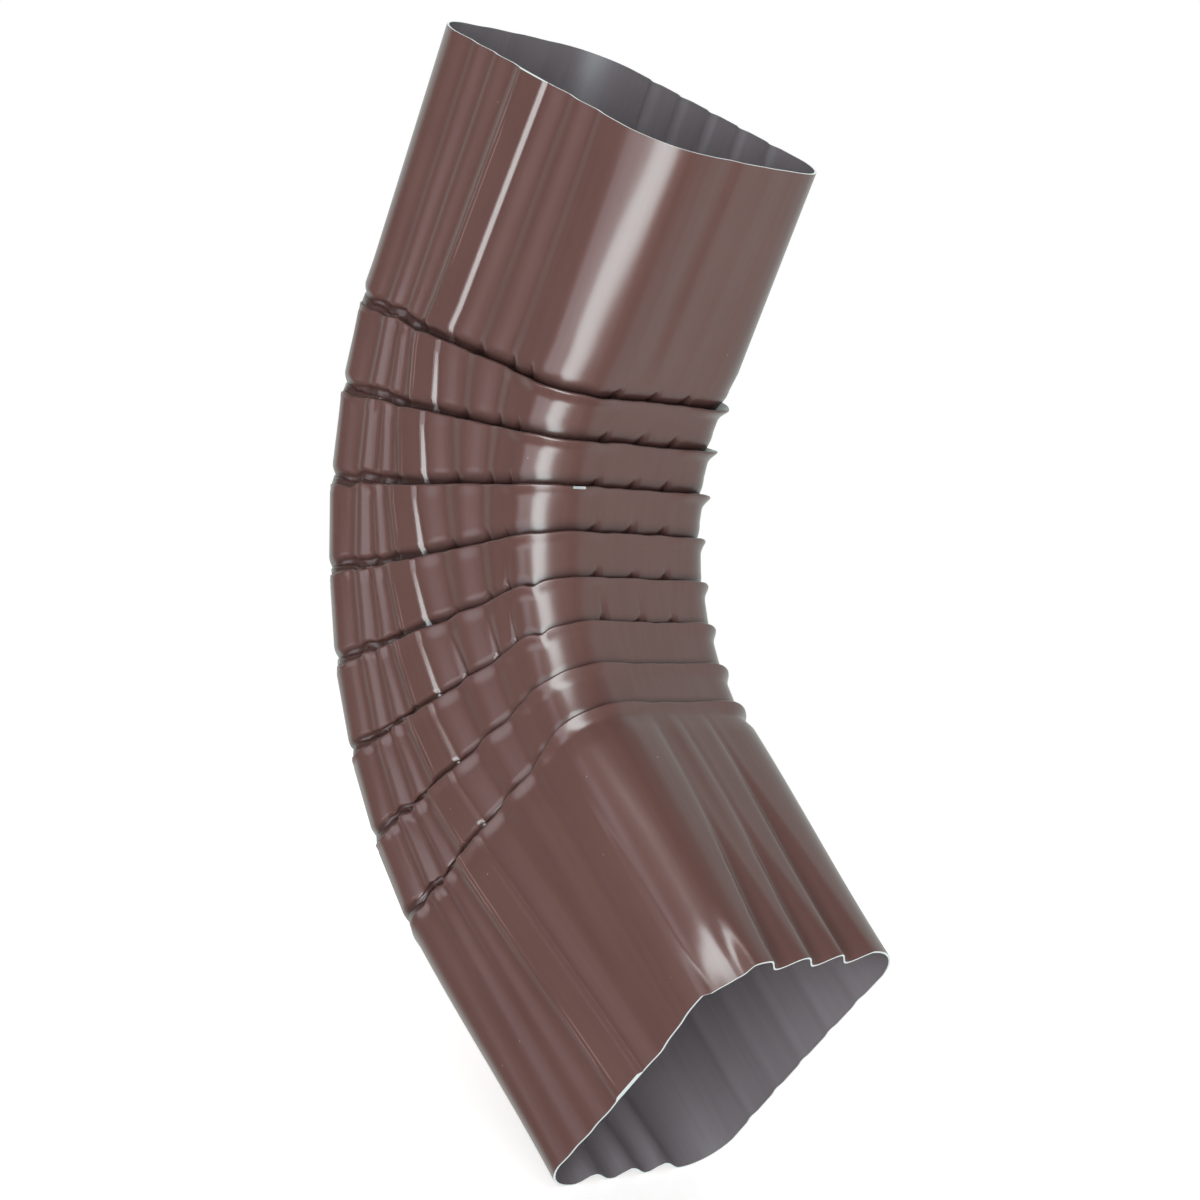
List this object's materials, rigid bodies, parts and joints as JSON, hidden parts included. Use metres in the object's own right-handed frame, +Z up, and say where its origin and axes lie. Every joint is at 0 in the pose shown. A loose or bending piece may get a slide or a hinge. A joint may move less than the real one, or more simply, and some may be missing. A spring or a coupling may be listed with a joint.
{
  "type": "downspout elbow",
  "caption": "Rectangular gutter downspout elbow folded from one painted metal sheet, with tucked folds round the bend, a plain inlet and a crimped outlet.",
  "frame": {"origin": "centre of the inlet mouth, on the plane of its rim", "axes": "+Z up along the axis of the inlet tube, out of the mouth; +X towards the throat, the side that the elbow turns to; -Y towards the wide face with the lock seam"},
  "size_m": [0.1816, 0.058, 0.2085],
  "materials": {
    "painted_sheet": "semi-gloss reddish brown coil coat outside, violet-grey back coat inside, bare metal at the cut edges"
  },
  "bodies": {
    "root": {"elbow": "painted_sheet"}
  },
  "joints": []
}
